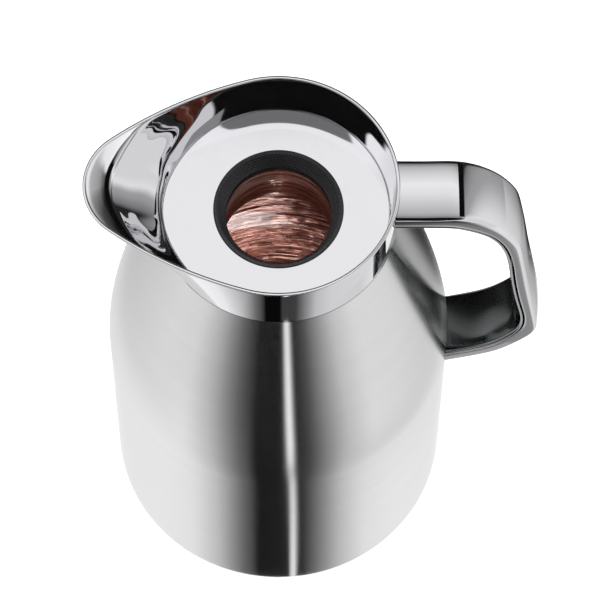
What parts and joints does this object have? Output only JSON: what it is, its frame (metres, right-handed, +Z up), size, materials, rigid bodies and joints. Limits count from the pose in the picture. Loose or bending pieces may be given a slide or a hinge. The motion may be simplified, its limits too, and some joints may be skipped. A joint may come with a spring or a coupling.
{
  "type": "thermal jug",
  "caption": "Open thermal jug with a brushed shell, chromed collar and pouring spout, strap handle, glass vacuum flask and screw-in base.",
  "frame": {"origin": "on the jug's axis, on the surface it stands on", "axes": "+Z up along the jug's axis, +X towards the handle, -X towards the spout"},
  "size_m": [0.1808, 0.14, 0.2523],
  "materials": {
    "brushed_shell": "satin stainless steel, brushed round the body",
    "chrome": "polished chrome plate",
    "chrome_deck": "polished flat chrome plate",
    "handle_cover_chrome": "polished chrome plate",
    "copper_glass": "blown glass with a copper mirror coat, rippled",
    "black_rubber": "satin black rubber",
    "black_plastic": "fine matte black moulding",
    "spacer_felt": "pressed mineral felt",
    "bracket_steel": "plain stainless steel"
  },
  "bodies": {
    "jug": {"outer_shell": "brushed_shell", "spout_collar": "chrome", "collar_lock_ring": "black_plastic", "collar_seal": "black_rubber", "deck_seal": "black_rubber", "deck_plate": "chrome_deck", "neck_gasket": "black_rubber", "flask_inner_glass": "copper_glass", "flask_outer_glass": "copper_glass", "flask_spacers": "spacer_felt", "shoulder_bumper": "black_rubber", "base_ring": "black_plastic", "foot_ring": "black_rubber", "handle_strap": "chrome", "handle_cover": "handle_cover_chrome", "lower_bracket": "bracket_steel", "handle_screws": "bracket_steel"},
    "cushion": {"flask_cushion": "black_rubber"},
    "base_cap": {"base_cap": "black_plastic", "base_seal": "black_rubber"}
  },
  "joints": [
    {"name": "base_travel", "type": "slide", "parent": "jug", "child": "cushion", "axis": [0, 0, -1], "range_m": [0, 0.012]},
    {"name": "base_turn", "type": "hinge", "parent": "cushion", "child": "base_cap", "pos_m": [0, 0, 0.008], "axis": [0, 0, -1], "range_deg": [0, 1080]}
  ],
  "couplings": [
    {"joint": "base_travel", "follows": "base_turn", "m_per_rad": 0.0006366}
  ]
}
